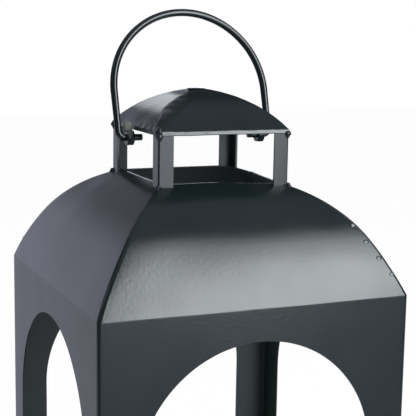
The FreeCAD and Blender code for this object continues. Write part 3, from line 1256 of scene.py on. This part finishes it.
@dataclass
class Bail:
    """Round wire bail, a little stouter along its loop than at the ends that turn in through the nuts."""

    pivots: Pivots
    wire: float = 6.0
    wire_sides: int = 28
    side_play: float = 1.2
    elbow: float = 5.4
    elbow_steps: int = 10
    height: float = 116.5
    loop_steps: int = 90
    end_overhang: float = 8.6
    end_chamfer: float = 0.6
    lean: float = 17.4
    swell: float = 0.36
    swell_rise: float = 20.0
    splay: float = 0.0045

    @property
    def half(self) -> float:
        """Half width between the middles of the legs."""
        return self.pivots.spread + self.pivots.nut_thickness / 2 + self.side_play + self.elbow

    def lengthen(
        self, bm: Mesh, loop: Edges, way: Triple = (0, 0, 0),
        centre: Triple = (0, 0, 0), turn: float = 0.0, steps: int = 1,
    ) -> Edges:
        """Draw the wire straight on from its open end, or bend it on.

        Args:
            bm: Mesh of the wire so far.
            loop: Edges round its open end.
            way: How far it is drawn, and which way.
            centre: Centre of the bend.
            turn: Angle of the bend, in degrees.
            steps: Number of steps along it.

        Returns:
            Edges round the new open end.
        """
        verts = list(dict.fromkeys(vert for edge in loop for vert in edge.verts))
        last = bmesh.ops.spin(bm, geom=loop + verts, cent=centre, axis=(0, 1, 0), dvec=way, steps=steps,
                              angle=math.radians(turn), use_merge=False)["geom_last"]
        return only(bmesh.types.BMEdge, last)

    def build(self, finishes: Finishes) -> None:
        """Build and dress the bail.

        Args:
            finishes: Materials by slot.
        """
        bm = bmesh.new()
        end = self.pivots.spread - self.pivots.nut_thickness / 2 - self.end_overhang
        straight = self.half - self.elbow - end
        leg = self.height - self.half - self.elbow
        ring = bmesh.ops.create_circle(bm, segments=self.wire_sides, radius=self.wire / 2)["verts"]
        bmesh.ops.rotate(bm, verts=ring, matrix=rotation(90, "Y"))
        bmesh.ops.translate(bm, verts=ring, vec=(-end, 0, 0))
        first = bm.edges[:]
        turn_in = {"way": (-straight, 0, 0)}
        elbow = {"turn": 90, "steps": self.elbow_steps}
        moves = (
            turn_in,
            elbow | {"centre": (self.elbow - self.half, 0, self.elbow)},
            {"way": (0, 0, leg)},
            {"centre": (0, 0, self.height - self.half), "turn": 180, "steps": self.loop_steps},
            {"way": (0, 0, -leg)},
            elbow | {"centre": (self.half - self.elbow, 0, self.elbow)},
            turn_in,
        )
        loop = first
        for move in moves:
            loop = self.lengthen(bm, loop, **move)
        for rim in (first, loop):
            bmesh.ops.edgeloop_fill(bm, edges=rim)
        bmesh.ops.recalc_face_normals(bm, faces=bm.faces[:])
        bm.normal_update()
        for vert in bm.verts:
            share = share_between(vert.co.z, self.elbow, self.elbow + self.swell_rise)
            vert.co += share * (vert.normal * self.swell + Vector((vert.co.x * self.splay, 0, 0)))
        round_over(bm, first + loop, self.end_chamfer, EDGE_STEPS)
        bmesh.ops.rotate(bm, verts=bm.verts[:], matrix=rotation(-self.lean, "X"))
        bmesh.ops.translate(bm, verts=bm.verts[:], vec=(self.pivots.middle, 0, self.pivots.height))
        finishes.piece("bail_wire", bm, "bail_paint", ["bail_handle"], rider=Rider.BAIL)


@dataclass(frozen=True)
class Softbox:
    """Soft area light, placed by its direction from the lantern."""

    name: str
    azimuth: float
    elevation: float
    width: float
    height: float
    glow: float
    bank: float = 0.0
    colour: str = "#f6fbff"
    distance: float = 1700.0
    aim_height: float = 400.0

    def build(self) -> None:
        """Hang the light, facing the lantern and out of the camera's sight."""
        data = bpy.data.lights.new(self.name, "AREA")
        data.shape = "RECTANGLE"
        data.size, data.size_y = self.width * MM, self.height * MM
        data.energy = self.glow * math.pi * data.size * data.size_y
        data.color = linear(self.colour)[:3]
        around, above = math.radians(self.azimuth), math.radians(self.elevation)
        level = Vector((math.sin(around), -math.cos(around), 0))
        way = level * math.cos(above) + UP * math.sin(above)
        place = Matrix.Translation((UP * self.aim_height + way * self.distance) * MM)
        facing = way.to_track_quat("Z", "Y").to_matrix().to_4x4()
        lamp = scene_object(self.name, data)
        lamp.matrix_world = place @ facing @ rotation(-self.bank, "Z", 4)
        lamp.visible_camera = False


@dataclass(frozen=True)
class Mirrored:
    """Pale part of the studio that the paint mirrors, with soft bounds.

    Each bound is a direction, and the cosines to it at which the part's edge starts and ends.
    """

    level: float
    bounds: tuple[tuple[Triple, float, float], ...]

    def glow(self, tree: bpy.types.NodeTree, way: bpy.types.NodeSocket) -> bpy.types.NodeSocket:
        """Add the nodes that give the part's light in a direction.

        Args:
            tree: Node tree of the world.
            way: Direction that is looked in.

        Returns:
            The light: its level within all the bounds, and none outside any of them.
        """
        light = self.level
        for aim, start, end in self.bounds:
            toward = add_node(tree, "ShaderNodeVectorMath", {"operation": "DOT_PRODUCT"}, {0: way, 1: aim})
            step = add_node(tree, "ShaderNodeMapRange", {"interpolation_type": "SMOOTHSTEP"}, {
                "Value": toward.outputs["Value"], "From Min": start, "From Max": end})
            light = add_node(tree, "ShaderNodeMath", {"operation": "MULTIPLY"}, {
                0: light, 1: step.outputs["Result"]}).outputs[0]
        return light


@dataclass
class Studio:
    """Pale floor, white background, soft light from the front right and behind, and the camera."""

    # Bounds of the banks of light that hang round the lantern, half way up to the ceiling.
    BANK = ((ABOVE, 0.45, 0.6), (ABOVE, 0.92, 0.78))

    camera_place: Triple = (-396.1, -954.4, 587.4)
    yaw: float = 23.10
    pitch: float = 9.29
    roll: float = 0.93
    lens: float = 97.87
    sensor: float = 36.0
    floor_back: float = 6000.0
    floor_front: float = 450.0
    floor_left: float = 1200.0
    floor_white: float = 0.9
    floor_tone: str = "#f2f2f2"
    white: str = "#ffffff"
    # Tints of the world and of the floor where the paint mirrors them.
    cool: str = "#e2e5fb"
    shade: str = "#b0b4c4"
    ambient: float = 0.9
    dark: float = 0.05
    ceiling: Mirrored = Mirrored(0.32, ((ABOVE, 0.7, 0.95),))
    surround: tuple[Mirrored, ...] = (
        # Low card in front, which greys the front wall.
        Mirrored(0.84, (((0.2, -0.98, 0.0), 0.7, 1.0), (ABOVE, 0.12, -0.05))),
        # Wing behind, which the left wall and roof mirror.
        Mirrored(0.95, ((BEHIND, 0.7, 0.88), (ABOVE, 0.42, 0.2), (ACROSS, 0.2, 0.05))),
        # Lit backdrop behind on the right, mirrored only at a glance.
        Mirrored(3.1, (((0.9986, -0.0523, 0.0), -0.05, 0.06), (BEHIND, -0.1, 0.3),
                       (ABOVE, 0.22, 0.1), (ACROSS, 0.5, 0.42))),
        # Banks behind, on the left and on the right, which draw the lines along the wires.
        Mirrored(1.6, (*BANK, (BEHIND, 0.7, 0.85), (ACROSS, 0.3, 0.12))),
        Mirrored(1.6, (*BANK, (ACROSS, -0.65, -0.8), (BEHIND, -0.05, 0.15))),
        Mirrored(1.6, (*BANK, (ACROSS, 0.58, 0.7))),
    )
    lights: tuple[Softbox, ...] = (
        Softbox("key_softbox", 27.0, 20.5, 790.0, 2300.0, 2.3, 22.0),
        Softbox("key_inner", 28.5, 24.0, 680.0, 1400.0, 3.4, 40.0),
        Softbox("key_core", 28.5, 22.0, 660.0, 1000.0, 4.2, 40.0),
        Softbox("back_light", 178.1, 21.8, 110.0, 100.0, 1.9, distance=396.0, aim_height=520.0),
    )

    def camera(self) -> None:
        """Set the camera where the photograph was taken from."""
        data = bpy.data.cameras.new("camera")
        data.lens = self.lens
        data.sensor_width = self.sensor
        camera = scene_object("camera", data)
        place = Matrix.Translation(Vector(self.camera_place) * MM)
        aim = rotation(-self.yaw, "Z", 4) @ rotation(90 - self.pitch, "X", 4)
        camera.matrix_world = place @ aim @ rotation(self.roll, "Z", 4)
        bpy.context.scene.camera = camera

    def floor(self) -> None:
        """Lay the floor, white to the camera, grey in reflections, with the lantern's shadow."""
        bm = bmesh.new()
        bmesh.ops.create_grid(bm, x_segments=1, y_segments=1, size=self.floor_back * MM)
        for vert in bm.verts:
            vert.co.x = max(vert.co.x, -self.floor_left * MM)
            vert.co.y = max(vert.co.y, -self.floor_front * MM)
        floor = mesh_object("floor", bm)
        material = bpy.data.materials.new("pale_floor")
        tree = clear_tree(material)
        path = add_node(tree, "ShaderNodeLightPath")
        seen = add_node(tree, "ShaderNodeMath", {"operation": "MAXIMUM"}, {
            0: path.outputs["Is Camera Ray"], 1: path.outputs["Is Glossy Ray"]})
        share = add_node(tree, "ShaderNodeMath", {"operation": "MULTIPLY"}, {
            0: seen.outputs[0], 1: self.floor_white})
        tint = add_node(tree, "ShaderNodeMix", {"data_type": "RGBA"}, {
            "Factor": path.outputs["Is Glossy Ray"],
            COLOUR_A: linear(self.white), COLOUR_B: linear(self.shade)})
        lit = add_node(tree, "ShaderNodeBsdfDiffuse", inputs={"Color": linear(self.floor_tone)})
        glow = add_node(tree, "ShaderNodeEmission", inputs={"Color": tint.outputs[COLOUR_OUT]})
        both = add_node(tree, "ShaderNodeMixShader", inputs={
            0: share.outputs[0], 1: lit.outputs[0], 2: glow.outputs[0]})
        add_node(tree, "ShaderNodeOutputMaterial", inputs={"Surface": both.outputs[0]})
        floor.data.materials.append(material)

    def background(self) -> None:
        """Fill the world: white to the camera, and a lit studio with a white backdrop in reflections."""
        world = bpy.data.worlds.new("studio")
        bpy.context.scene.world = world
        tree = clear_tree(world)
        way = add_node(tree, "ShaderNodeTexCoord").outputs["Generated"]
        path = add_node(tree, "ShaderNodeLightPath")
        mirrored = add_node(tree, "ShaderNodeMath", {"operation": "ADD"}, {
            0: self.ceiling.glow(tree, way), 1: self.dark})
        for part in self.surround:
            mirrored = add_node(tree, "ShaderNodeMath", {"operation": "MAXIMUM"}, {
                0: mirrored.outputs[0], 1: part.glow(tree, way)})
        shiny = add_node(tree, "ShaderNodeMath", {"operation": "MAXIMUM"}, {
            0: path.outputs["Is Glossy Ray"], 1: path.outputs["Is Transmission Ray"]})
        indirect = add_node(tree, "ShaderNodeMix", {"data_type": "FLOAT"}, {
            "Factor": shiny.outputs[0], LEVEL_A: self.ambient, LEVEL_B: mirrored.outputs[0]})
        glow = add_node(tree, "ShaderNodeMix", {"data_type": "FLOAT"}, {
            "Factor": path.outputs["Is Camera Ray"], LEVEL_A: indirect.outputs[0], LEVEL_B: 1.0})
        tint = add_node(tree, "ShaderNodeMix", {"data_type": "RGBA"}, {
            "Factor": shiny.outputs[0], COLOUR_A: linear(self.white), COLOUR_B: linear(self.cool)})
        sky = add_node(tree, "ShaderNodeBackground", inputs={
            "Color": tint.outputs[COLOUR_OUT], "Strength": glow.outputs[0]})
        add_node(tree, "ShaderNodeOutputWorld", inputs={"Surface": sky.outputs[0]})

    def build(self) -> None:
        """Set up the whole studio."""
        self.camera()
        self.floor()
        for light in self.lights:
            light.build()
        self.background()
        bpy.context.scene.view_settings.view_transform = "Standard"


def main() -> None:
    """Build the lantern's pieces and the studio round them."""
    logging.basicConfig(level=logging.INFO, format="%(name)s: %(message)s")
    Studio().build()
    finishes = Finishes()
    body = Body()
    body.build(finishes)
    HipTacks(body).build(finishes)
    finishes.dress_node("floor_plate", "floor_paint")
    posts = Posts(body)
    posts.build(finishes)
    cap = Cap(posts)
    cap.build(finishes)
    pivots = Pivots(cap)
    pivots.build(finishes)
    Bail(pivots).build(finishes)


if __name__ == "__main__":
    main()
